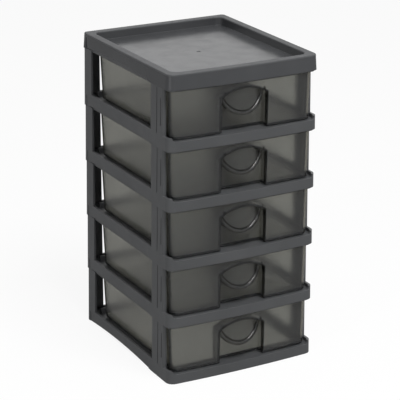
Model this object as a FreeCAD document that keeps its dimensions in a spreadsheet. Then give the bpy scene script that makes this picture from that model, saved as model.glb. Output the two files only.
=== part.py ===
import FreeCAD
import Part
import Sketcher
import math
import os
import re

# The tower stands on the XY plane with its front towards -Y, and its origin is the middle of its foot.
# Five like frames stand on one another, a lid with a tray closes the stack, and each frame holds a drawer.
# The frame, the drawer and the lid are each drawn once from their own foot, then lifted to their levels.

# Driving dimensions, in millimetres
SIZES = {
    # Footprint of a frame at its foot
    "tower_width": 182,
    "tower_depth": 210,
    "front_bow": 3,
    "front_corner_radius": 9,
    "back_corner_radius": 6,
    # Frame walls and the way that the frames stack
    "tier_pitch": 66,
    "tier_lean": 1,
    "frame_wall": 2,
    "stack_clearance": 0.3,
    "ring_lap": 1.5,
    # Skirt round the foot of a frame, with the ledge that carries the drawer
    "rail_height": 15,
    "lip_height": 11,
    "back_rail_height": 12.5,
    "ledge_thickness": 2.5,
    "ledge_reach": 14,
    "front_ledge_reach": 19,
    "back_ledge_reach": 8,
    "foot_arch_rise": 3.6,
    "foot_arch_front": 46,
    "foot_arch_back": 7,
    "skirt_panel_depth": 0.4,
    "skirt_panel_height": 12.6,
    "skirt_panel_front": 52,
    "skirt_panel_back": 9,
    # Posts at the corners of a frame
    "post_setback": 17,
    "front_post_width": 27,
    "back_post_width": 22,
    "front_flange_width": 3.5,
    "flange_thickness": 2,
    "back_flange_width": 20.3,
    "post_edge_radius": 2.5,
    "flute_width": 1.3,
    "flute_depth": 0.4,
    "flute_pitch": 8.5,
    "flute_end_gap": 10,
    # Stops behind the drawers
    "stop_height": 5,
    "stop_length": 7,
    "stop_width": 6,
    # Lid
    "lid_height": 17,
    "lid_lean": 1.2,
    "lid_floor": 2,
    "lid_rim_width": 9,
    "lid_edge_radius": 1,
    "lid_channel_gap": 0.4,
    "tray_corner_radius": 8,
    "tray_floor_drop": 3,
    "gate_mark_radius": 2.2,
    "gate_mark_depth": 0.4,
    # Drawer, at its foot
    "drawer_wall": 2,
    "drawer_lift": 1.3,
    "drawer_head_gap": 0.6,
    "drawer_side_gap": 3,
    "drawer_back_gap": 26,
    "drawer_lean": 1.8,
    "drawer_back_radius": 9,
    "drawer_edge_radius": 1.5,
    "runner_width": 3,
    "runner_back_gap": 12,
    "stop_gap": 1.5,
    # Front panel of a drawer, at its foot
    "panel_setback": 4.5,
    "panel_side_gap": 1,
    "panel_lean": 1.3,
    "panel_return": 11.5,
    "panel_corner_radius": 8,
    "panel_lip_gap": 2,
    # Finger recess in the front panel, under a bowed visor, measured from the drawer's foot
    "recess_width": 55,
    "recess_spring_height": 37.6,
    "recess_arch_rise": 8.2,
    "recess_depth": 11,
    "recess_wall": 2,
    "visor_setback": 0.5,
    "visor_bulge": 9,
    "visor_thickness": 2,
    "visor_low_point": 15.8,
    "visor_lip_height": 4.6,
    "visor_lip_swell": 1.2,
    "visor_lip_radius": 1.6,
    # Allowance by which every cut runs past the face that it opens, and every seam into its neighbour
    "overrun": 5,
    "seam": 0.8,
    # How near an edge has to lie to the place that it is looked for
    "nearness": 0.01,
}

# Sizes that follow from the driving ones
DERIVED = {
    "half_width": "tower_width / 2",
    "half_depth": "tower_depth / 2",
    "bow_radius": "(half_width * half_width + front_bow * front_bow) / (2 * front_bow)",
    "lean_angle": "atan(tier_lean / tier_pitch)",
    "ledge_under": "lip_height - ledge_thickness",
    "upper_inset": "tier_lean + frame_wall",
    "ring_inset": "frame_wall + stack_clearance",
    "post_front": "post_setback - half_depth",
    "post_back": "post_front + front_post_width",
    "window_back": "half_depth - back_post_width",
    "wall_inside": "half_width - upper_inset",
    "flange_inside": "wall_inside - front_flange_width + frame_wall",
    "ledge_inside": "half_width - frame_wall - ledge_reach",
    "foot_arch_half": "(tower_depth - foot_arch_front - foot_arch_back) / 2",
    "foot_arch_middle": "(foot_arch_front - foot_arch_back) / 2",
    "foot_arch_radius":
        "(foot_arch_half * foot_arch_half + foot_arch_rise * foot_arch_rise) / (2 * foot_arch_rise)",
    "drawer_foot": "lip_height + drawer_lift",
    "drawer_height": "tier_pitch - ring_lap - drawer_head_gap - drawer_foot",
    "drawer_half": "flange_inside - drawer_side_gap - drawer_lean",
    "drawer_back": "half_depth - drawer_back_gap",
    "drawer_angle": "atan(drawer_lean / drawer_height)",
    "panel_half": "flange_inside - panel_side_gap - panel_lean",
    "panel_angle": "atan(panel_lean / drawer_height)",
    "panel_front": "panel_setback - half_depth",
    "panel_back": "panel_front + front_bow + panel_return",
    "runner_inside": "drawer_half - drawer_edge_radius - runner_width",
    "recess_half": "recess_width / 2",
    "recess_back": "panel_front + recess_depth",
    "arch_radius":
        "(recess_half * recess_half + recess_arch_rise * recess_arch_rise) / (2 * recess_arch_rise)",
    "arch_middle": "recess_spring_height + recess_arch_rise - arch_radius",
    "visor_front": "panel_front + visor_setback",
    "visor_radius": "(recess_half * recess_half + visor_bulge * visor_bulge) / (2 * visor_bulge)",
    "visor_round": "recess_half + recess_wall / 2",
    "visor_round_level": "visor_low_point + visor_round",
    "lid_foot": "tier_pitch * 5",
    "lid_angle": "atan(lid_lean / lid_height)",
    "tray_inset": "lid_lean + lid_rim_width",
    "lid_under": "ledge_under - tray_floor_drop",
    "tray_depth": "lid_height - lid_under - lid_floor",
}

FRAMES = ["bottom_frame", "lower_frame", "middle_frame", "upper_frame", "top_frame"]
DRAWERS = ["bottom_drawer", "lower_drawer", "middle_drawer", "upper_drawer", "top_drawer"]

doc = FreeCAD.newDocument("DrawerTower")
sheet = doc.addObject("Spreadsheet::Sheet", "Sizes")
for row, (name, value) in enumerate(SIZES.items(), start=1):
    sheet.set(f"A{row}", name)
    sheet.set(f"B{row}", str(value))
    sheet.setAlias(f"B{row}", name)
doc.recompute()


def formula(text):
    """The expression for a text written in the names of the sizes."""
    def spell(match):
        word = match.group()
        if word in DERIVED:
            return "(" + formula(DERIVED[word]) + ")"
        return "Sizes." + word if word in SIZES else word
    return re.sub(r"[a-z_]+", spell, text)


def amount(text):
    """The value of a text written in the names of the sizes, in millimetres or degrees."""
    result = sheet.evalExpression(formula(text))
    return float(getattr(result, "Value", result))


def bind(thing, **sizes):
    """Ties an object's properties to the sheet. A double underscore stands for a dot in a path."""
    for path, text in sizes.items():
        thing.setExpression(path.replace("__", "."), formula(text))


# Sketches and features

def origin_plane(body, role):
    return next(item for item in body.Origin.OriginFeatures if item.Role == role)


def new_body(name):
    return doc.addObject("PartDesign::Body", name)


def new_sketch(body, name, role="XY_Plane", offset="0"):
    sketch = body.newObject("Sketcher::SketchObject", name)
    sketch.AttachmentSupport = (origin_plane(body, role), [""])
    sketch.MapMode = "FlatFace"
    bind(sketch, AttachmentOffset__Base__z=offset)
    return sketch


def fix(sketch, kind, *where, size=None, name=None):
    """Adds one constraint, tied to the sheet where it has a size."""
    if size is None:
        sketch.addConstraint(Sketcher.Constraint(kind, *where))
        return
    index = sketch.addConstraint(Sketcher.Constraint(kind, *where, amount(size)))
    sketch.renameConstraint(index, name)
    sketch.setExpression("Constraints." + name, formula(size))


def pin(sketch, item, end, across, along, name):
    """Holds one point of a sketch at its distances from the sketch's origin."""
    fix(sketch, "DistanceX", -1, 1, item, end, size=across, name=name + "_across")
    fix(sketch, "DistanceY", -1, 1, item, end, size=along, name=name + "_along")


def add_polygon(sketch, corners, name="corner"):
    """A closed outline with straight sides."""
    spots = [FreeCAD.Vector(amount(across), amount(along), 0) for across, along in corners]
    first = sketch.GeometryCount
    count = len(spots)
    for index in range(count):
        sketch.addGeometry(Part.LineSegment(spots[index], spots[(index + 1) % count]))
    for index in range(count):
        fix(sketch, "Coincident", first + index, 2, first + (index + 1) % count, 1)
    for index, (across, along) in enumerate(corners):
        pin(sketch, first + index, 1, across, along, f"{name}{index + 1}")


def arc(middle, radius, start, end):
    """An arc about a middle, from the angle of one point to that of another, anticlockwise."""
    circle = Part.Circle(middle, FreeCAD.Vector(0, 0, 1), radius)
    angles = [math.atan2(spot.y - middle.y, spot.x - middle.x) for spot in (start, end)]
    if angles[1] < angles[0]:
        angles[1] += 2 * math.pi
    return Part.ArcOfCircle(circle, *angles)


def add_bowed_outline(sketch, half, back, setback, front_radius, back_radius, name):
    """An outline with a bowed front, straight sides and back, and rounded corners, anticlockwise."""
    side, rear, inward = amount(half), amount(back), amount(setback)
    near, far = amount(front_radius), amount(back_radius)
    bow = amount("bow_radius") - inward
    bow_middle = FreeCAD.Vector(0, bow + inward - amount("half_depth"), 0)
    reach = math.sqrt((bow - near) ** 2 - (side - near) ** 2)
    right_near = FreeCAD.Vector(side - near, bow_middle.y - reach, 0)
    left_near = FreeCAD.Vector(near - side, bow_middle.y - reach, 0)
    right_tip = bow_middle + (right_near - bow_middle) * (bow / (bow - near))
    left_tip = bow_middle + (left_near - bow_middle) * (bow / (bow - near))
    right_far = FreeCAD.Vector(side - far, rear - far, 0)
    left_far = FreeCAD.Vector(far - side, rear - far, 0)
    across = FreeCAD.Vector(near, 0, 0)
    wide = FreeCAD.Vector(far, 0, 0)
    deep = FreeCAD.Vector(0, far, 0)
    parts = {
        "bow": arc(bow_middle, bow, left_tip, right_tip),
        "right_near": arc(right_near, near, right_tip, right_near + across),
        "right": Part.LineSegment(right_near + across, right_far + wide),
    }
    if far > 0:
        parts["right_far"] = arc(right_far, far, right_far + wide, right_far + deep)
    parts["back"] = Part.LineSegment(right_far + deep, left_far + deep)
    if far > 0:
        parts["left_far"] = arc(left_far, far, left_far + deep, left_far - wide)
    parts["left"] = Part.LineSegment(left_far - wide, left_near - across)
    parts["left_near"] = arc(left_near, near, left_near - across, left_tip)
    place_of = {part: sketch.GeometryCount + index for index, part in enumerate(parts)}
    for part in parts.values():
        sketch.addGeometry(part)
    order = list(parts)
    for part, following in zip(order, order[1:] + order[:1]):
        sharp = {part, following} in ({"right", "back"}, {"back", "left"})
        fix(sketch, "Coincident" if sharp else "Tangent", place_of[part], 2, place_of[following], 1)
    fix(sketch, "Vertical", place_of["right"])
    fix(sketch, "Vertical", place_of["left"])
    fix(sketch, "Horizontal", place_of["back"])
    fix(sketch, "PointOnObject", place_of["bow"], 3, -2)
    fix(
        sketch, "DistanceY", -1, 1, place_of["bow"], 3,
        size="bow_radius - half_depth", name=name + "_middle")
    fix(sketch, "Radius", place_of["bow"], size=f"bow_radius - ({setback})", name=name + "_bow")
    fix(sketch, "DistanceX", -1, 1, place_of["right"], 1, size=half, name=name + "_right")
    fix(sketch, "DistanceX", place_of["left"], 1, -1, 1, size=half, name=name + "_left")
    fix(sketch, "DistanceY", -1, 1, place_of["back"], 1, size=back, name=name + "_back")
    for part, radius in (("right_near", front_radius), ("left_near", front_radius),
                         ("right_far", back_radius), ("left_far", back_radius)):
        if part in parts:
            fix(sketch, "Radius", place_of[part], size=radius, name=f"{name}_{part}")


def add_footprint(sketch, inset, name):
    """The footprint of the tower, drawn in evenly all round."""
    add_bowed_outline(
        sketch, f"half_width - ({inset})", f"half_depth - ({inset})", inset,
        f"front_corner_radius - ({inset})", f"back_corner_radius - ({inset})", name)


def extrude(body, kind, sketch, name, length, backwards=False):
    """Pads or pockets a sketch."""
    feature = body.newObject("PartDesign::" + kind, name)
    feature.Profile = sketch
    bind(feature, Length=length)
    feature.Reversed = backwards
    doc.recompute()
    return feature


def block(body, kind, name, left, right, front, back, foot, top):
    """Adds or cuts a straight block between six faces."""
    feature = body.newObject("PartDesign::" + kind + "Box", name)
    bind(
        feature,
        Length=f"({right}) - ({left})", Width=f"({back}) - ({front})", Height=f"({top}) - ({foot})",
        Placement__Base__x=left, Placement__Base__y=front, Placement__Base__z=foot)
    doc.recompute()
    return feature


def sides_of(side, inner, outer):
    """The left and right faces of a block that lies between two distances from the middle, on one side."""
    return (inner, outer) if side > 0 else (f"-({outer})", f"-({inner})")


def names_of(kind, items, wanted):
    return [f"{kind}{index}" for index, item in enumerate(items, start=1) if wanted(item)]


def upright_faces(feature):
    """The faces of a newly padded block that stand upright."""
    return names_of("Face", feature.Shape.Faces, lambda face: abs(face.normalAt(0, 0).z) < 0.5)


def lean(body, feature, faces, name, angle, outwards=False, neutral=None):
    """Tilts upright faces about the plane that they keep their size in."""
    draft = body.newObject("PartDesign::Draft", name)
    draft.Base = (feature, faces)
    draft.NeutralPlane = neutral or (origin_plane(body, "XY_Plane"), [""])
    draft.Reversed = outwards
    bind(draft, Angle=angle)
    doc.recompute()
    return draft


def round_edges(body, name, radius, wanted):
    """Rounds the edges of a body that a test picks."""
    base = body.Tip
    edges = names_of("Edge", base.Shape.Edges, wanted)
    fillet = body.newObject("PartDesign::Fillet", name)
    fillet.Base = (base, edges)
    bind(fillet, Radius=radius)
    doc.recompute()
    return fillet


def build_frame(name):
    """One stacking frame: skirt, ledge, four posts and the ring that the next frame drops over."""
    body = new_body(name)

    # Outer block, which leans in a little towards its top
    outline = new_sketch(body, name + "_outline")
    add_footprint(outline, "0", "outer")
    outer = extrude(body, "Pad", outline, name + "_block", "tier_pitch")
    lean(body, outer, upright_faces(outer), name + "_lean", "lean_angle")

    # Hollow above the ledge, and the socket under it that takes the ring of the frame below
    upper = new_sketch(body, name + "_upper_outline", offset="tier_pitch")
    add_footprint(upper, "upper_inset", "upper")
    extrude(body, "Pocket", upper, name + "_upper_hollow", "tier_pitch - lip_height")
    socket = new_sketch(body, name + "_socket_outline")
    add_footprint(socket, "frame_wall", "socket")
    extrude(body, "Pocket", socket, name + "_socket", "ledge_under", backwards=True)

    # Opening in the middle of the ledge
    block(
        body, "Subtractive", name + "_ledge_opening",
        "-(ledge_inside)", "ledge_inside", "front_ledge_reach + frame_wall - half_depth",
        "half_depth - frame_wall - back_ledge_reach", "ledge_under - overrun", "lip_height + overrun")

    # Everything in front of the posts goes, down to the rail, and between its ends down to the lip
    block(
        body, "Subtractive", name + "_front_opening",
        "-(half_width) - overrun", "half_width + overrun", "-(half_depth) - overrun", "post_front",
        "rail_height", "tier_pitch + overrun")
    lip = new_sketch(body, name + "_lip_outline", "XZ_Plane", "half_depth + overrun")
    add_lip_cut(lip)
    extrude(body, "Pocket", lip, name + "_lip_cut", "overrun + post_setback")

    # Windows in the sides, and the open back
    block(
        body, "Subtractive", name + "_windows",
        "-(half_width) - overrun", "half_width + overrun", "post_back", "window_back",
        "rail_height", "tier_pitch + overrun")
    block(
        body, "Subtractive", name + "_back_opening",
        "back_flange_width - half_width", "half_width - back_flange_width",
        "half_depth - upper_inset - overrun", "half_depth + overrun",
        "back_rail_height", "tier_pitch + overrun")

    # Return flanges that guide the drawer between the front posts
    for side, word in ((-1, "left"), (1, "right")):
        left, right = sides_of(side, "flange_inside", "wall_inside + seam")
        block(
            body, "Additive", f"{name}_{word}_flange", left, right, "post_front",
            "post_front + flange_thickness", "lip_height - seam", "tier_pitch - ring_lap + seam")

    # Ring round the top, inside the skirt of the next frame
    ring = new_sketch(body, name + "_ring_outline", offset="tier_pitch - ring_lap")
    add_footprint(ring, "ring_inset", "ring_outer")
    add_footprint(ring, "ring_inset + frame_wall", "ring_inner")
    extrude(body, "Pad", ring, name + "_ring", "ring_lap + ledge_under")

    cut_sides(body, name, "half_width - tier_lean * skirt_panel_height / tier_pitch - skirt_panel_depth")

    # Flutes on the front posts
    for side, word in ((-1, "left"), (1, "right")):
        left, right = sides_of(side, "half_width - tier_lean - flute_depth", "half_width + overrun")
        for index, shorter in ((1, "1"), (2, "0")):
            middle = f"post_front + front_post_width / 2 - flute_pitch * {index - 1}"
            block(
                body, "Subtractive", f"{name}_{word}_flute{index}", left, right,
                f"{middle} - flute_width / 2", f"{middle} + flute_width / 2",
                f"rail_height + flute_end_gap * (1 - {shorter})",
                f"tier_pitch - ring_lap - flute_end_gap * (1 - {shorter})")

    # Small stops at the back of the side ledges
    for side, word in ((-1, "left"), (1, "right")):
        add_stop(body, side, f"{name}_{word}_stop")

    round_edges(body, name + "_post_edges", "post_edge_radius", is_post_edge)
    return body


def cut_sides(body, name, panel_inside):
    """The shallow arch under each side, and the plain panel sunk into the skirt above it."""
    arch = body.newObject("PartDesign::SubtractiveCylinder", name + "_foot_arch")
    arch.Placement.Rotation = FreeCAD.Rotation(FreeCAD.Vector(0, 1, 0), 90)
    bind(
        arch, Radius="foot_arch_radius", Height="tower_width + 2 * overrun",
        Placement__Base__x="-(half_width) - overrun", Placement__Base__y="foot_arch_middle",
        Placement__Base__z="foot_arch_rise - foot_arch_radius")
    doc.recompute()
    for side, word in ((-1, "left"), (1, "right")):
        left, right = sides_of(side, panel_inside, "half_width + overrun")
        block(
            body, "Subtractive", f"{name}_{word}_panel", left, right, "skirt_panel_front - half_depth",
            "half_depth - skirt_panel_back", "-overrun", "skirt_panel_height")


def add_lip_cut(sketch):
    """The dip in the front of the skirt, seen from the front, with a quarter round at each end."""
    half, rise = "panel_half + panel_lip_gap", "rail_height - lip_height"
    right, step, foot = amount(half), amount(rise), amount("lip_height")
    top = foot + step
    high = top + amount("overrun")
    left_spots = [(-right, high), (-right, top), (step - right, foot)]
    right_spots = [(right - step, foot), (right, top), (right, high)]
    marks = [FreeCAD.Vector(across, along, 0) for across, along in left_spots + right_spots]
    sketch.addGeometry(Part.LineSegment(marks[0], marks[1]))
    sketch.addGeometry(arc(FreeCAD.Vector(step - right, top, 0), step, marks[1], marks[2]))
    sketch.addGeometry(Part.LineSegment(marks[2], marks[3]))
    sketch.addGeometry(arc(FreeCAD.Vector(right - step, top, 0), step, marks[3], marks[4]))
    sketch.addGeometry(Part.LineSegment(marks[4], marks[5]))
    sketch.addGeometry(Part.LineSegment(marks[5], marks[0]))
    for first, second in ((0, 1), (1, 2), (2, 3), (3, 4)):
        fix(sketch, "Tangent", first, 2, second, 1)
    fix(sketch, "Coincident", 4, 2, 5, 1)
    fix(sketch, "Coincident", 5, 2, 0, 1)
    fix(sketch, "Vertical", 0)
    fix(sketch, "Vertical", 4)
    fix(sketch, "Horizontal", 5)
    fix(sketch, "Radius", 1, size=rise, name="left_quarter")
    fix(sketch, "Radius", 3, size=rise, name="right_quarter")
    fix(sketch, "DistanceX", 0, 1, -1, 1, size=half, name="left_end")
    fix(sketch, "DistanceX", -1, 1, 4, 2, size=half, name="right_end")
    fix(sketch, "DistanceY", -1, 1, 2, 1, size="lip_height", name="lip_level")
    fix(sketch, "DistanceY", -1, 1, 5, 1, size="rail_height + overrun", name="cut_level")


def add_stop(body, side, name):
    """A small ramp on the side ledge that stops the drawer before it reaches the back."""
    wedge = body.newObject("PartDesign::AdditiveWedge", name)
    left, _ = sides_of(side, "ledge_inside", "ledge_inside + stop_width")
    bind(
        wedge,
        Xmin="0", Xmax="stop_width", X2min="0", X2max="stop_width", Ymin="0", Ymax="stop_height + seam",
        Zmin="0", Zmax="stop_length", Z2min="0", Z2max="stop_length / 4",
        Placement__Base__x=left, Placement__Base__y="drawer_back + drawer_lean + stop_gap + stop_length",
        Placement__Base__z="lip_height - seam")
    wedge.Placement.Rotation = FreeCAD.Rotation(FreeCAD.Vector(1, 0, 0), 90)
    doc.recompute()


def is_post_edge(edge):
    """The outer upright edge of a front post."""
    box = edge.BoundBox
    outside = min(abs(box.XMin), abs(box.XMax)) > amount("half_width - tier_lean - seam")
    upright = box.ZLength > amount("tier_pitch / 2")
    return outside and upright and abs(box.YMin - amount("post_front")) < amount("nearness")


def build_lid(name):
    """The lid: a skirt round the ring of the top frame, and a shallow tray inside a broad rim."""
    body = new_body(name)
    outline = new_sketch(body, name + "_outline")
    add_footprint(outline, "0", "outer")
    outer = extrude(body, "Pad", outline, name + "_block", "lid_height")
    lean(body, outer, upright_faces(outer), name + "_lean", "lid_angle")

    tray = new_sketch(body, name + "_tray_outline", offset="lid_height")
    add_bowed_outline(
        tray, "half_width - tray_inset", "half_depth - tray_inset", "tray_inset",
        "tray_corner_radius", "tray_corner_radius", "tray")
    extrude(body, "Pocket", tray, name + "_tray", "tray_depth")

    # Hollow under the tray, the socket round it for the ring, and the channel that keeps the wall even
    hollow = new_sketch(body, name + "_hollow_outline")
    add_footprint(hollow, "frame_wall", "hollow")
    extrude(body, "Pocket", hollow, name + "_hollow", "lid_under", backwards=True)
    bands = (
        ("socket", "frame_wall", "ledge_under"),
        ("channel", "ring_inset + frame_wall + lid_channel_gap", "lid_height - lid_floor"))
    for word, inset, depth in bands:
        band = new_sketch(body, f"{name}_{word}_outline")
        add_footprint(band, inset, word + "_outer")
        add_bowed_outline(
            band, "half_width - tray_inset + lid_floor", "half_depth - tray_inset + lid_floor",
            "tray_inset - lid_floor", "tray_corner_radius", "tray_corner_radius", word + "_inner")
        extrude(body, "Pocket", band, f"{name}_{word}", depth, backwards=True)
    cut_sides(body, name, "half_width - lid_lean * skirt_panel_height / lid_height - skirt_panel_depth")

    mark = body.newObject("PartDesign::SubtractiveCylinder", name + "_gate_mark")
    bind(
        mark, Radius="gate_mark_radius", Height="gate_mark_depth + overrun",
        Placement__Base__z="lid_under + lid_floor - gate_mark_depth")
    doc.recompute()
    round_edges(body, name + "_rim_edges", "lid_edge_radius", is_rim_edge)
    return body


def is_rim_edge(edge):
    """The inner and outer edges of the top of the rim."""
    box = edge.BoundBox
    return box.ZMin > amount("lid_height - nearness")


def build_tub(name, inset):
    """The tub of a drawer, drawn in evenly from its outer form, and wider at the top than at the foot."""
    body = new_body(name)
    outline = new_sketch(body, name + "_outline", offset=inset)
    add_polygon(outline, [
        (f"{inset} - drawer_half", "panel_back - drawer_wall - seam"),
        (f"drawer_half - {inset}", "panel_back - drawer_wall - seam"),
        (f"drawer_half - {inset}", f"drawer_back - {inset}"),
        (f"{inset} - drawer_half", f"drawer_back - {inset}")])
    tub = extrude(body, "Pad", outline, name + "_block", "drawer_height")
    walls = names_of("Face", tub.Shape.Faces, is_tub_wall)
    lean(body, tub, walls, name + "_lean", "drawer_angle", outwards=True)
    round_edges(body, name + "_back_edges", f"drawer_back_radius - {inset}", is_back_corner)
    return body


def is_tub_wall(face):
    """A side or the back of a tub."""
    normal = face.normalAt(0, 0)
    return abs(normal.z) < 0.5 and normal.y > -0.5


def is_back_corner(edge):
    """An upright corner between a side and the back of a tub."""
    box = edge.BoundBox
    return box.ZLength > amount("drawer_height / 2") and box.YMin > 0


def is_tub_foot_edge(edge):
    """The edge of a tub's foot along its sides and back."""
    box = edge.BoundBox
    return box.ZMax < amount("nearness") and box.YMax > amount("panel_back")


def build_panel(name, inset):
    """The front panel of a drawer with its short returns, drawn in evenly from its outer form."""
    body = new_body(name)
    outline = new_sketch(body, name + "_outline", offset=inset)
    add_bowed_outline(
        outline, f"panel_half - {inset}", f"panel_back - {inset}", f"panel_setback + {inset}",
        f"panel_corner_radius - {inset}", "0", "panel")
    panel = extrude(body, "Pad", outline, name + "_block", "drawer_height")
    faces = names_of("Face", panel.Shape.Faces, is_panel_front)
    lean(body, panel, faces, name + "_lean", "panel_angle", outwards=True)
    return body


def is_panel_front(face):
    """The front, a corner or a side of a panel."""
    normal = face.normalAt(0, 0)
    return abs(normal.z) < 0.5 and normal.y < 0.5


def build_arch(name, grown):
    """The arch-topped block of the finger recess, grown evenly all round except at its foot."""
    body = new_body(name)
    outline = new_sketch(body, name + "_outline", "XZ_Plane", "half_depth + overrun")
    foot = "-overrun" if grown == "0" else "0"
    add_arch(outline, f"recess_half + {grown}", f"arch_radius + {grown}", foot)
    depth = f"recess_back + {grown} + half_depth + overrun"
    extrude(body, "Pad", outline, name + "_block", depth, backwards=True)
    return body


def add_arch(sketch, half, radius, foot):
    """A doorway with a shallow arch over it, seen from the front."""
    side, swing, low, middle = amount(half), amount(radius), amount(foot), amount("arch_middle")
    spring = middle + math.sqrt(swing ** 2 - side ** 2)
    marks = [FreeCAD.Vector(across, along, 0)
             for across, along in ((-side, low), (side, low), (side, spring), (-side, spring))]
    sketch.addGeometry(Part.LineSegment(marks[0], marks[1]))
    sketch.addGeometry(Part.LineSegment(marks[1], marks[2]))
    sketch.addGeometry(arc(FreeCAD.Vector(0, middle, 0), swing, marks[2], marks[3]))
    sketch.addGeometry(Part.LineSegment(marks[3], marks[0]))
    for index in range(len(marks)):
        fix(sketch, "Coincident", index, 2, (index + 1) % len(marks), 1)
    pin(sketch, 0, 1, f"-({half})", foot, "left_foot")
    pin(sketch, 0, 2, half, foot, "right_foot")
    fix(sketch, "Vertical", 1)
    fix(sketch, "Vertical", 3)
    pin(sketch, 2, 3, "0", "arch_middle", "arch_middle")
    fix(sketch, "Radius", 2, size=radius, name="arch")


def build_hood(name, swell, radius, hollow):
    """A bowed shell in the finger recess, rounded off below. A hollow one keeps only its edge."""
    body = new_body(name)
    outline = new_sketch(body, name + "_outline")
    add_crescent(outline, f"visor_radius + {swell}", f"visor_radius - visor_thickness - {swell}")
    extrude(body, "Pad", outline, name + "_block", "drawer_height")
    depth = "2 * overrun + panel_setback + recess_depth + recess_wall"
    around = new_sketch(body, name + "_around_outline", "XZ_Plane", "half_depth + overrun")
    top = "drawer_height + 2 * overrun"
    add_polygon(around, [
        ("-recess_width", "-overrun"), ("recess_width", "-overrun"),
        ("recess_width", top), ("-recess_width", top)])
    add_round(around, radius)
    extrude(body, "Pocket", around, name + "_around", depth)
    if hollow:
        inside = new_sketch(body, name + "_inside_outline", "XZ_Plane", "half_depth + overrun")
        add_round(inside, f"{radius} - visor_lip_height")
        extrude(body, "Pocket", inside, name + "_inside", depth)
        round_edges(body, name + "_edges", "visor_lip_radius", is_lip_edge)
    return body


def add_round(sketch, radius):
    """A doorway upside down, seen from the front: half round below, with straight sides above."""
    swing, middle, top = amount(radius), amount("visor_round_level"), amount("drawer_height + overrun")
    marks = [FreeCAD.Vector(across, along, 0)
             for across, along in ((-swing, top), (-swing, middle), (swing, middle), (swing, top))]
    first = sketch.GeometryCount
    sketch.addGeometry(Part.LineSegment(marks[0], marks[1]))
    sketch.addGeometry(arc(FreeCAD.Vector(0, middle, 0), swing, marks[1], marks[2]))
    sketch.addGeometry(Part.LineSegment(marks[2], marks[3]))
    sketch.addGeometry(Part.LineSegment(marks[3], marks[0]))
    fix(sketch, "Tangent", first, 2, first + 1, 1)
    fix(sketch, "Tangent", first + 1, 2, first + 2, 1)
    fix(sketch, "Coincident", first + 2, 2, first + 3, 1)
    fix(sketch, "Coincident", first + 3, 2, first, 1)
    fix(sketch, "Vertical", first)
    fix(sketch, "Vertical", first + 2)
    fix(sketch, "Horizontal", first + 3)
    pin(sketch, first + 1, 3, "0", "visor_round_level", "round_middle")
    fix(sketch, "Radius", first + 1, size=radius, name="round")
    fix(sketch, "DistanceY", -1, 1, first + 3, 1, size="drawer_height + overrun", name="round_top")


def add_crescent(sketch, outer, inner):
    """A bowed strip, seen from above, whose ends run through the back of the recess."""
    middle, end = amount("visor_front + visor_radius"), amount("recess_back + overrun")
    reach = [math.sqrt(amount(radius) ** 2 - (middle - end) ** 2) for radius in (outer, inner)]
    ends = [FreeCAD.Vector(across, end, 0) for across in (-reach[0], reach[0], reach[1], -reach[1])]
    centre = FreeCAD.Vector(0, middle, 0)
    sketch.addGeometry(arc(centre, amount(outer), ends[0], ends[1]))
    sketch.addGeometry(Part.LineSegment(ends[1], ends[2]))
    sketch.addGeometry(arc(centre, amount(inner), ends[3], ends[2]))
    sketch.addGeometry(Part.LineSegment(ends[3], ends[0]))
    fix(sketch, "Coincident", 0, 2, 1, 1)
    fix(sketch, "Coincident", 1, 2, 2, 2)
    fix(sketch, "Coincident", 2, 1, 3, 1)
    fix(sketch, "Coincident", 3, 2, 0, 1)
    fix(sketch, "Horizontal", 1)
    fix(sketch, "Horizontal", 3)
    pin(sketch, 0, 3, "0", "visor_front + visor_radius", "middle")
    fix(sketch, "Coincident", 2, 3, 0, 3)
    fix(sketch, "Radius", 0, size=outer, name="outer")
    fix(sketch, "Radius", 2, size=inner, name="inner")
    fix(sketch, "DistanceY", -1, 1, 1, 1, size="recess_back + overrun", name="right_end")
    fix(sketch, "DistanceY", -1, 1, 3, 1, size="recess_back + overrun", name="left_end")


def is_lip_edge(edge):
    """A long edge of the visor's lip."""
    return edge.Length > amount("recess_width / 2")


def join(kind, name, items):
    """Joins solids into one, keeps what they share, or cuts the second out of the first."""
    feature = doc.addObject("Part::" + kind, name)
    if kind == "Cut":
        feature.Base, feature.Tool = items
    else:
        feature.Shapes = items
    doc.recompute()
    return feature


def build_drawer():
    """One drawer, from its foot: a tub and a front panel of even walls, with the finger recess let in."""
    tub = build_tub("tub", "0")
    round_edges(tub, "tub_foot_edges", "drawer_edge_radius", is_tub_foot_edge)
    outer = join("MultiFuse", "drawer_outer", [tub, build_panel("panel", "0")])
    inner = join("MultiFuse", "drawer_inner", [
        build_tub("tub_inside", "drawer_wall"), build_panel("panel_inside", "drawer_wall")])
    shell = join("Cut", "drawer_shell", [outer, inner])
    surround = build_arch("recess_surround", "recess_wall")
    alcove = join("MultiCommon", "recess_alcove", [outer, surround])
    walled = join("MultiFuse", "drawer_with_alcove", [shell, alcove])
    hollowed = join("Cut", "drawer_with_recess", [walled, build_arch("recess", "0")])
    visor = build_hood("visor", "0", "visor_round - visor_lip_height / 2", hollow=False)
    lip = build_hood("visor_lip", "visor_lip_swell", "visor_round", hollow=True)
    hood = join("MultiCommon", "hood", [join("MultiFuse", "visor_with_lip", [visor, lip]), surround])
    runners = [build_runner(side, word) for side, word in ((-1, "left"), (1, "right"))]
    return join("MultiFuse", "drawer", [hollowed, hood] + runners)


def build_runner(side, word):
    """A low rail under one side of a drawer, which slides on the side ledge."""
    runner = doc.addObject("Part::Box", word + "_runner")
    left, right = sides_of(side, "runner_inside", "runner_inside + runner_width")
    bind(
        runner, Length=f"({right}) - ({left})", Width="drawer_back - runner_back_gap - panel_back",
        Height="drawer_lift + drawer_wall / 2", Placement__Base__x=left, Placement__Base__y="panel_back",
        Placement__Base__z="-drawer_lift")
    doc.recompute()
    return runner


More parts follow.
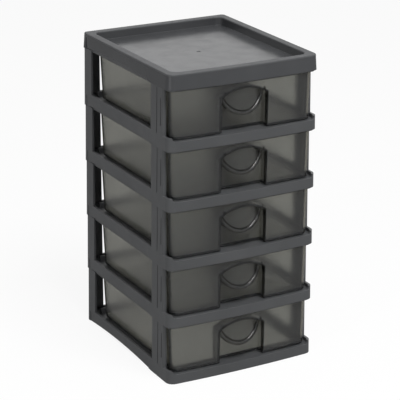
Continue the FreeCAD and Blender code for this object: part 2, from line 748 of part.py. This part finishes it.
def place(name, source, level):
    """A piece of its own, like a source solid, lifted to its level."""
    piece = doc.addObject("Part::Compound", name)
    piece.Links = [source]
    bind(piece, Placement__Base__z=level)
    return piece


frame = build_frame("frame")
drawer = build_drawer()
pieces = [place(name, frame, f"tier_pitch * {tier}") for tier, name in enumerate(FRAMES)]
pieces += [place(name, drawer, f"tier_pitch * {tier} + drawer_foot") for tier, name in enumerate(DRAWERS)]
pieces.append(place("lid", build_lid("lid_body"), "lid_foot"))
doc.recompute()

for item in doc.Objects:
    if "Invalid" in item.State or "Error" in item.State:
        raise RuntimeError(f"{item.Label}: {item.State}")
os.makedirs("parts", exist_ok=True)
for piece in pieces:
    shape = piece.Shape
    if shape.isNull() or not shape.isValid() or len(shape.Solids) != 1:
        raise RuntimeError(f"{piece.Label} is not one sound solid")
for piece in pieces:
    piece.Shape.exportStep(f"parts/{piece.Label}.step")
    print(piece.Label, round(piece.Shape.Volume), piece.Shape.BoundBox)
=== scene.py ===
# Looks of a plastic drawer tower: five frames and a lid in charcoal plastic, and five smoky drawers
import math

import bpy
from mathutils import Matrix, Vector

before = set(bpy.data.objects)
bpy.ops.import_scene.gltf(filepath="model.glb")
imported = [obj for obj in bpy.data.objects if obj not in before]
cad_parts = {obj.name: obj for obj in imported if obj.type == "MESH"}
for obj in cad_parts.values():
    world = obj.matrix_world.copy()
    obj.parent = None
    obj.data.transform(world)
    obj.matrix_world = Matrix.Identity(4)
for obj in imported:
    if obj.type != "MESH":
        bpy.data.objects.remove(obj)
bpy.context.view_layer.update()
LEVELS = ("bottom", "lower", "middle", "upper", "top")

# Camera, in metres and degrees
CAMERA_PLACE = (-0.87906, -1.59188, 0.81870)
CAMERA_TURN = 28.980
CAMERA_PITCH = 19.754
CAMERA_ROLL = 0.269
SENSOR_WIDTH = 36.0
LENS = 154.913
NEAREST = 0.05
FARTHEST = 50.0

# Noise patterns, each with its scale and detail, and the values that most of a pattern lies between
CHARCOAL_CLOUD = (14.0, 3.0)
CHARCOAL_WEAR = (60.0, 4.0)
CHARCOAL_GRAIN = (900.0, 2.0)
SMOKE_CLOUD = (10.0, 3.0)
SMOKE_FROST = (45.0, 4.0)
NARROW = (0.35, 0.65)
WIDE = (0.3, 0.7)

# Charcoal plastic of the frames and the lid, with linear colours and lengths in metres
CHARCOAL = (0.049, 0.051, 0.0535)
CHARCOAL_LIGHT = (0.057, 0.059, 0.062)
LID_CHARCOAL = (0.038, 0.0395, 0.042)
LID_CHARCOAL_LIGHT = (0.045, 0.0465, 0.0495)
FRAME_ROUGHNESS = 0.42
LID_ROUGHNESS = 0.22
LID_RIM_ROUGHNESS = 0.55
LID_RIM_LEVEL = 0.3452
ROUGHNESS_CHANGE = 0.05
CHARCOAL_IOR = 1.5
GRAIN_STRENGTH = 0.08
GRAIN_HEIGHT = 0.0004
SOFT_EDGE_RADIUS = 0.0007
SOFT_EDGE_SAMPLES = 4

# Smoky plastic of the drawers, with the near-black colour of the painted shade along its edges, the
# visor's lip and the finger recess
SMOKE_SURFACE = (0.90, 0.935, 0.99)
SMOKE_SURFACE_DEEP = (0.83, 0.865, 0.92)
# Painted shade: the near-black colour that edges, the lip and the recess are darkened towards
SMOKE_PAINTED_SHADE = (0.02, 0.02, 0.02)
SMOKE_INSIDE = (0.50, 0.473, 0.386)
SMOKE_DENSITY = 600.0
SMOKE_ROUGHNESS = (0.20, 0.27)
SMOKE_CLEARNESS = 0.978
SMOKE_IOR = 1.36
SMOKE_COAT = 0.25
SMOKE_COAT_ROUGHNESS = 0.12
# Sharp edges of a drawer, found with a bevel and darkened by a painted shade
SHARP_EDGE_RADIUS = 0.0006
SHARP_EDGE_SAMPLES = 8
SHARP_EDGE_TURN = (0.99, 0.85)
EDGE_SHADE_SHARE = 0.2

# Visor and finger recess in the front of a drawer, with heights from the foot of its tier, where
# painted shade runs along the lip's edges and the recess's arch and sides
TIER_PITCH = 0.066
LIP_MIDDLE = 0.0566
LIP_INSIDE = 0.0239
LIP_OUTSIDE = 0.0285
LIP_BACK = -0.0900
LIP_HALF = 0.0272
# Width of the painted shade along each edge of the lip
LIP_SHADE_WIDTH = 0.0011
RECESS_HALF = 0.0275
RECESS_SIDE_TOP = 0.0499
RECESS_FRONT = -0.0960
# Width of the painted shade along the recess's arch and sides
RECESS_SHADE_WIDTH = 0.0007
ARCH_RISE = 0.0082
ARCH_RADIUS = (RECESS_HALF ** 2 + ARCH_RISE ** 2) / (2 * ARCH_RISE)
ARCH_MIDDLE = RECESS_SIDE_TOP + ARCH_RISE - ARCH_RADIUS

# Floor and surround
WHITE = (1.0, 1.0, 1.0)
PALE = (0.80, 0.80, 0.80)
FLOOR_REACH = 6.0
FLOOR_GLOW_SHARE = 0.90
# Painted shade: the floor glows less under the tower's foot
FOOT_GLOW_SHARE = 0.75
FOOT_HALVES = {"X": 0.090, "Y": 0.104}
FOOT_FADE = 0.006
FLOOR_IN_GLOSS = 0.3
SURROUND_LIGHT = 0.42

# Lamps, each with its place, the spot that it points at, its width and its power in watts
LAMPS = {
    "key": ((0.1, -1.05, 1.99), (0, 0, 0.17), 0.9, 43.0),
    "fill": ((-1.7, -0.9, 0.35), (0, 0, 0.12), 0.9, 2.5),
    "glint": ((-1.5, -0.75, 1.5), (0, -0.1, 0.2), 0.25, 4.0),
}


def set_up_camera():
    """The camera stands where the photograph was taken from."""
    data = bpy.data.cameras.new("camera")
    data.sensor_width = SENSOR_WIDTH
    data.lens = LENS
    data.clip_start = NEAREST
    data.clip_end = FARTHEST
    turn, pitch, roll = (math.radians(a) for a in (CAMERA_TURN, CAMERA_PITCH, CAMERA_ROLL))
    ahead = Vector((
        math.sin(turn) * math.cos(pitch),
        math.cos(turn) * math.cos(pitch),
        -math.sin(pitch)))
    level = Vector((math.cos(turn), -math.sin(turn), 0))
    above = level.cross(ahead)
    right = math.cos(roll) * level + math.sin(roll) * above
    up = -math.sin(roll) * level + math.cos(roll) * above
    camera = bpy.data.objects.new("camera", data)
    turned = Matrix((right, up, -ahead)).transposed().to_4x4()
    camera.matrix_world = Matrix.Translation(CAMERA_PLACE) @ turned
    bpy.context.scene.collection.objects.link(camera)
    bpy.context.scene.camera = camera


# Nodes that the materials are made of

def new_material(name):
    """An empty node material, and its tree."""
    material = bpy.data.materials.new(name)
    material.use_nodes = True
    material.node_tree.nodes.clear()
    return material, material.node_tree


def own_place(tree):
    """The place of a point in its piece, at rest."""
    return tree.nodes.new("ShaderNodeTexCoord").outputs["Object"]


def axes(tree, place):
    """The three distances of a place, by the names of their axes."""
    apart = tree.nodes.new("ShaderNodeSeparateXYZ")
    tree.links.new(place, apart.inputs["Vector"])
    return apart.outputs


def noise(tree, place, pattern):
    """A noise pattern that lies in the piece itself."""
    texture = tree.nodes.new("ShaderNodeTexNoise")
    texture.inputs["Scale"].default_value, texture.inputs["Detail"].default_value = pattern
    tree.links.new(place, texture.inputs["Vector"])
    return texture.outputs["Fac"]


def spread(tree, value, source, target):
    """Maps a value from one range to another."""
    mapped = tree.nodes.new("ShaderNodeMapRange")
    mapped.inputs["From Min"].default_value, mapped.inputs["From Max"].default_value = source
    mapped.inputs["To Min"].default_value, mapped.inputs["To Max"].default_value = target
    tree.links.new(value, mapped.inputs["Value"])
    return mapped.outputs["Result"]


def work_out(tree, operation, first, second=0.0):
    """The result of one operation on values, which may be numbers or the outputs of nodes."""
    node = tree.nodes.new("ShaderNodeMath")
    node.operation = operation
    for index, value in enumerate((first, second)):
        if isinstance(value, float):
            node.inputs[index].default_value = value
        else:
            tree.links.new(value, node.inputs[index])
    return node.outputs[0]


def largest(tree, values):
    """The largest of several values."""
    total = values[0]
    for value in values[1:]:
        total = work_out(tree, "MAXIMUM", total, value)
    return total


def product(tree, values):
    """The product of several values."""
    total = values[0]
    for value in values[1:]:
        total = work_out(tree, "MULTIPLY", total, value)
    return total


def line_at(tree, value, middle, half_width):
    """1 where a value is near its middle, and 0 past the half width of the line."""
    off = work_out(tree, "ABSOLUTE", work_out(tree, "SUBTRACT", value, middle))
    return spread(tree, off, (half_width / 2, half_width), (1.0, 0.0))


def reach_from(tree, across, level, middle):
    """The distance in a front view from a point on the middle plane."""
    above = work_out(tree, "SUBTRACT", level, middle)
    squares = [work_out(tree, "POWER", length, 2.0) for length in (across, above)]
    return work_out(tree, "SQRT", work_out(tree, "ADD", *squares))


def blend(tree, share, first, second):
    """Mixes two colours by a share. Each may be a colour or the output of a node."""
    mixed = tree.nodes.new("ShaderNodeMix")
    mixed.data_type = "RGBA"
    for socket, colour in (("A", first), ("B", second)):
        if isinstance(colour, tuple):
            mixed.inputs[socket].default_value = (*colour, 1)
        else:
            tree.links.new(colour, mixed.inputs[socket])
    tree.links.new(share, mixed.inputs["Factor"])
    return mixed.outputs["Result"]


# Plastics

def charcoal_plastic(name, colours, roughness, rim_roughness):
    """Moulded charcoal plastic with a fine grain and soft edges, and its own roughness on a rim."""
    material, tree = new_material(name)
    out = tree.nodes.new("ShaderNodeOutputMaterial")
    shader = tree.nodes.new("ShaderNodeBsdfPrincipled")
    place = own_place(tree)
    cloud = spread(tree, noise(tree, place, CHARCOAL_CLOUD), NARROW, (0.0, 1.0))
    tree.links.new(blend(tree, cloud, *colours), shader.inputs["Base Color"])

    limits = (roughness - ROUGHNESS_CHANGE, roughness + ROUGHNESS_CHANGE)
    worn = spread(tree, noise(tree, place, CHARCOAL_WEAR), WIDE, limits)
    rim = work_out(tree, "GREATER_THAN", axes(tree, place)["Z"], LID_RIM_LEVEL)
    more = work_out(tree, "MULTIPLY", rim, rim_roughness - roughness)
    tree.links.new(work_out(tree, "ADD", worn, more), shader.inputs["Roughness"])

    soft_edge = tree.nodes.new("ShaderNodeBevel")
    soft_edge.samples = SOFT_EDGE_SAMPLES
    soft_edge.inputs["Radius"].default_value = SOFT_EDGE_RADIUS
    bump = tree.nodes.new("ShaderNodeBump")
    bump.inputs["Strength"].default_value = GRAIN_STRENGTH
    bump.inputs["Distance"].default_value = GRAIN_HEIGHT
    tree.links.new(soft_edge.outputs["Normal"], bump.inputs["Normal"])
    tree.links.new(noise(tree, place, CHARCOAL_GRAIN), bump.inputs["Height"])
    tree.links.new(bump.outputs["Normal"], shader.inputs["Normal"])
    shader.inputs["IOR"].default_value = CHARCOAL_IOR
    tree.links.new(shader.outputs["BSDF"], out.inputs["Surface"])
    return material


def edge_shade_mask(tree):
    """1 at the sharp edges of a piece and 0 away from them, marking where a painted shade darkens the
    edges.
    """
    bevel = tree.nodes.new("ShaderNodeBevel")
    bevel.samples = SHARP_EDGE_SAMPLES
    bevel.inputs["Radius"].default_value = SHARP_EDGE_RADIUS
    likeness = tree.nodes.new("ShaderNodeVectorMath")
    likeness.operation = "DOT_PRODUCT"
    tree.links.new(bevel.outputs["Normal"], likeness.inputs[0])
    facing = tree.nodes.new("ShaderNodeNewGeometry").outputs["True Normal"]
    tree.links.new(facing, likeness.inputs[1])
    size = work_out(tree, "ABSOLUTE", likeness.outputs["Value"])
    return spread(tree, size, SHARP_EDGE_TURN, (0.0, 1.0))


def lip_shade_lines(tree, place):
    """1 along the two edges of a visor's lip, where a painted shade goes, and 0 elsewhere."""
    spot = axes(tree, place)
    level = work_out(tree, "FLOORED_MODULO", spot["Z"], TIER_PITCH)
    reach = reach_from(tree, spot["X"], level, LIP_MIDDLE)
    painted_shade_lines = [line_at(tree, reach, radius, LIP_SHADE_WIDTH) for radius in (LIP_INSIDE, LIP_OUTSIDE)]
    width = work_out(tree, "ABSOLUTE", spot["X"])
    limits = [
        work_out(tree, "LESS_THAN", width, LIP_HALF),
        work_out(tree, "LESS_THAN", spot["Y"], LIP_BACK),
        work_out(tree, "LESS_THAN", level, LIP_MIDDLE),
    ]
    return product(tree, [largest(tree, painted_shade_lines)] + limits)


def recess_shade_lines(tree, place):
    """1 along the arch and the sides of the finger recess in a front, where a painted shade goes, and 0
    elsewhere.
    """
    spot = axes(tree, place)
    level = work_out(tree, "FLOORED_MODULO", spot["Z"], TIER_PITCH)
    width = work_out(tree, "ABSOLUTE", spot["X"])
    reach = reach_from(tree, width, level, ARCH_MIDDLE)
    arch = product(tree, [
        line_at(tree, reach, ARCH_RADIUS, RECESS_SHADE_WIDTH),
        work_out(tree, "LESS_THAN", width, RECESS_HALF + RECESS_SHADE_WIDTH)])
    sides = product(tree, [
        line_at(tree, width, RECESS_HALF, RECESS_SHADE_WIDTH),
        work_out(tree, "LESS_THAN", level, RECESS_SIDE_TOP)])
    in_front = work_out(tree, "LESS_THAN", spot["Y"], RECESS_FRONT)
    return product(tree, [largest(tree, [arch, sides]), in_front])


def smoky_plastic(name):
    """Smoky plastic that darkens with its thickness and blurs what is behind it a little, with painted
    shade along its sharp edges, the visor's lip and the finger recess.
    """
    material, tree = new_material(name)
    out = tree.nodes.new("ShaderNodeOutputMaterial")
    shader = tree.nodes.new("ShaderNodeBsdfPrincipled")
    place = own_place(tree)
    cloud = spread(tree, noise(tree, place, SMOKE_CLOUD), WIDE, (0.0, 1.0))
    tone = blend(tree, cloud, SMOKE_SURFACE, SMOKE_SURFACE_DEEP)
    # Painted shade: sharp edges, the lip's two edges and the recess's arch and sides are darkened
    # towards a near-black colour
    faint_edge_shade = work_out(tree, "MULTIPLY", edge_shade_mask(tree), EDGE_SHADE_SHARE)
    painted_shade_lines = largest(tree, [faint_edge_shade, lip_shade_lines(tree, place), recess_shade_lines(tree, place)])
    tree.links.new(blend(tree, painted_shade_lines, tone, SMOKE_PAINTED_SHADE), shader.inputs["Base Color"])

    frost = spread(tree, noise(tree, place, SMOKE_FROST), WIDE, SMOKE_ROUGHNESS)
    tree.links.new(frost, shader.inputs["Roughness"])
    shader.inputs["Transmission Weight"].default_value = SMOKE_CLEARNESS
    shader.inputs["IOR"].default_value = SMOKE_IOR
    shader.inputs["Coat Weight"].default_value = SMOKE_COAT
    shader.inputs["Coat Roughness"].default_value = SMOKE_COAT_ROUGHNESS
    depth = tree.nodes.new("ShaderNodeVolumeAbsorption")
    depth.inputs["Color"].default_value = (*SMOKE_INSIDE, 1)
    depth.inputs["Density"].default_value = SMOKE_DENSITY
    tree.links.new(shader.outputs["BSDF"], out.inputs["Surface"])
    tree.links.new(depth.outputs["Volume"], out.inputs["Volume"])
    return material


def dress(names, material):
    """Gives pieces a material."""
    for name in names:
        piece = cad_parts[name]
        piece.data.materials.clear()
        piece.data.materials.append(material)


# Floor, surround and lamps

def seen_rays(tree):
    """1 for rays from the camera, from gloss and through clear pieces, and 0 for the rest."""
    path = tree.nodes.new("ShaderNodeLightPath").outputs
    return largest(tree, [path["Is Camera Ray"], path["Is Glossy Ray"], path["Is Transmission Ray"]])


def glow_share(tree):
    """The share of the floor's glow: most of it away from the tower, and less under it, a painted shade
    on the floor beneath the tower.
    """
    spot = axes(tree, own_place(tree))
    shares = []
    for axis, half in FOOT_HALVES.items():
        size = work_out(tree, "ABSOLUTE", spot[axis])
        shares.append(spread(tree, size, (half - FOOT_FADE, half), (FOOT_GLOW_SHARE, FLOOR_GLOW_SHARE)))
    return largest(tree, shares)


def floor_material():
    """A pale matt floor that shows near white and keeps a soft shadow, with a painted shade under the
    tower where it glows less.
    """
    material, tree = new_material("pale_floor")
    out = tree.nodes.new("ShaderNodeOutputMaterial")
    matt = tree.nodes.new("ShaderNodeBsdfDiffuse")
    matt.inputs["Color"].default_value = (*PALE, 1)
    glow = tree.nodes.new("ShaderNodeEmission")
    glow.inputs["Color"].default_value = (*WHITE, 1)
    path = tree.nodes.new("ShaderNodeLightPath").outputs
    mirrored = work_out(tree, "SUBTRACT", path["Is Glossy Ray"], path["Is Transmission Ray"])
    strength = spread(tree, mirrored, (0.0, 1.0), (1.0, FLOOR_IN_GLOSS))
    tree.links.new(strength, glow.inputs["Strength"])
    both = tree.nodes.new("ShaderNodeMixShader")
    tree.links.new(product(tree, [seen_rays(tree), glow_share(tree)]), both.inputs["Fac"])
    tree.links.new(matt.outputs["BSDF"], both.inputs[1])
    tree.links.new(glow.outputs["Emission"], both.inputs[2])
    tree.links.new(both.outputs["Shader"], out.inputs["Surface"])
    return material


def lay_floor():
    """A square floor that the tower stands on."""
    mesh = bpy.data.meshes.new("floor")
    signs = ((-1, -1), (1, -1), (1, 1), (-1, 1))
    corners = [(across * FLOOR_REACH, along * FLOOR_REACH, 0) for across, along in signs]
    mesh.from_pydata(corners, [], [(0, 1, 2, 3)])
    mesh.materials.append(floor_material())
    floor = bpy.data.objects.new("floor", mesh)
    bpy.context.scene.collection.objects.link(floor)


def light_world():
    """Even soft light from all round, and a white surround where it is seen."""
    world = bpy.data.worlds.new("studio")
    bpy.context.scene.world = world
    world.use_nodes = True
    tree = world.node_tree
    tree.nodes.clear()
    out = tree.nodes.new("ShaderNodeOutputWorld")
    background = tree.nodes.new("ShaderNodeBackground")
    background.inputs["Color"].default_value = (*WHITE, 1)
    strength = spread(tree, seen_rays(tree), (0.0, 1.0), (SURROUND_LIGHT, 1.0))
    tree.links.new(strength, background.inputs["Strength"])
    tree.links.new(background.outputs["Background"], out.inputs["Surface"])


def add_lamp(name, place, aim, width, power):
    """A square soft lamp that points at a spot."""
    data = bpy.data.lights.new(name, "AREA")
    data.size = width
    data.energy = power
    lamp = bpy.data.objects.new(name, data)
    lamp.location = place
    lamp.rotation_mode = "QUATERNION"
    lamp.rotation_quaternion = (Vector(aim) - Vector(place)).to_track_quat("-Z", "Y")
    bpy.context.scene.collection.objects.link(lamp)


set_up_camera()
frame_plastic = charcoal_plastic(
    "charcoal_frame_plastic", (CHARCOAL, CHARCOAL_LIGHT), FRAME_ROUGHNESS, FRAME_ROUGHNESS)
lid_plastic = charcoal_plastic(
    "charcoal_lid_plastic", (LID_CHARCOAL, LID_CHARCOAL_LIGHT), LID_ROUGHNESS, LID_RIM_ROUGHNESS)
dress([f"{level}_frame" for level in LEVELS], frame_plastic)
dress(["lid"], lid_plastic)
dress([f"{level}_drawer" for level in LEVELS], smoky_plastic("smoky_drawer_plastic"))
lay_floor()
light_world()
for lamp_name, settings in LAMPS.items():
    add_lamp(lamp_name, *settings)
bpy.context.scene.view_settings.view_transform = "Standard"
